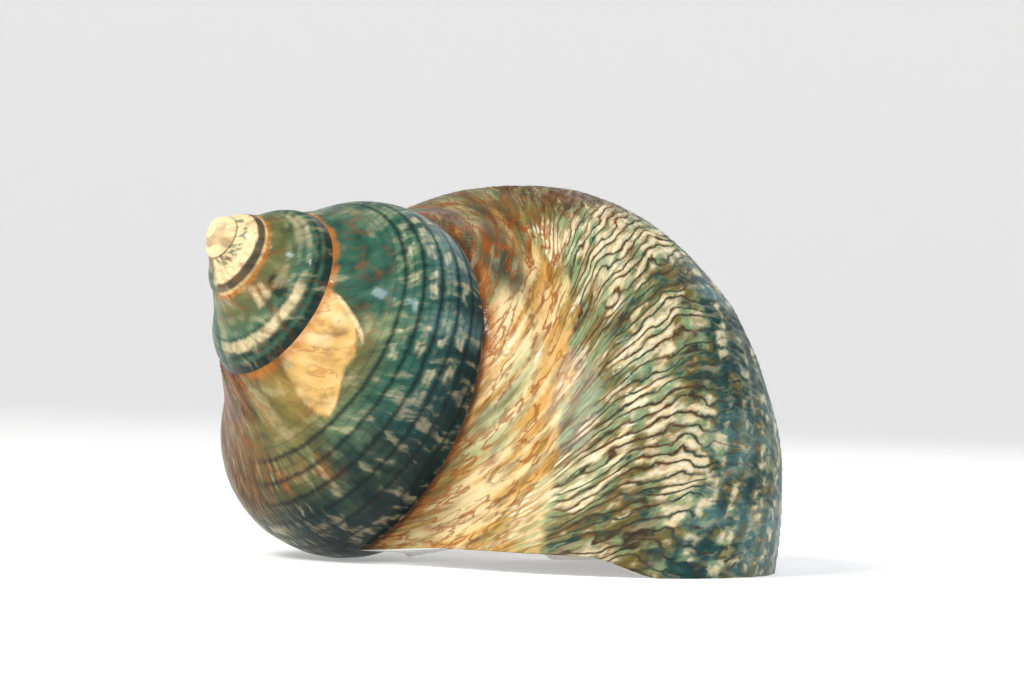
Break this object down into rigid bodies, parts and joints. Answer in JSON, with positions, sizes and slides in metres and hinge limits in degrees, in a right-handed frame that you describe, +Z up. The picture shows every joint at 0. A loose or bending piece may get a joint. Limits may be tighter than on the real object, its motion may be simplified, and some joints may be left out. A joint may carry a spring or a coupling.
{
  "type": "turban shell",
  "caption": "Large green turban sea shell with a stepped spire and a wide round mouth, lying on its mouth.",
  "frame": {"origin": "middle of the bounding box's bottom face, on the ground the shell lies on", "axes": "+Z up; the apex points to -X and -Y and 31 degrees up; the mouth faces -Z, on the +X side"},
  "size_m": [0.1489, 0.12, 0.0991],
  "materials": {
    "shell": "polished green, brown and cream banded shell, glossy, pearly inside"
  },
  "bodies": {
    "root": {"turban_shell": "shell"}
  },
  "joints": []
}
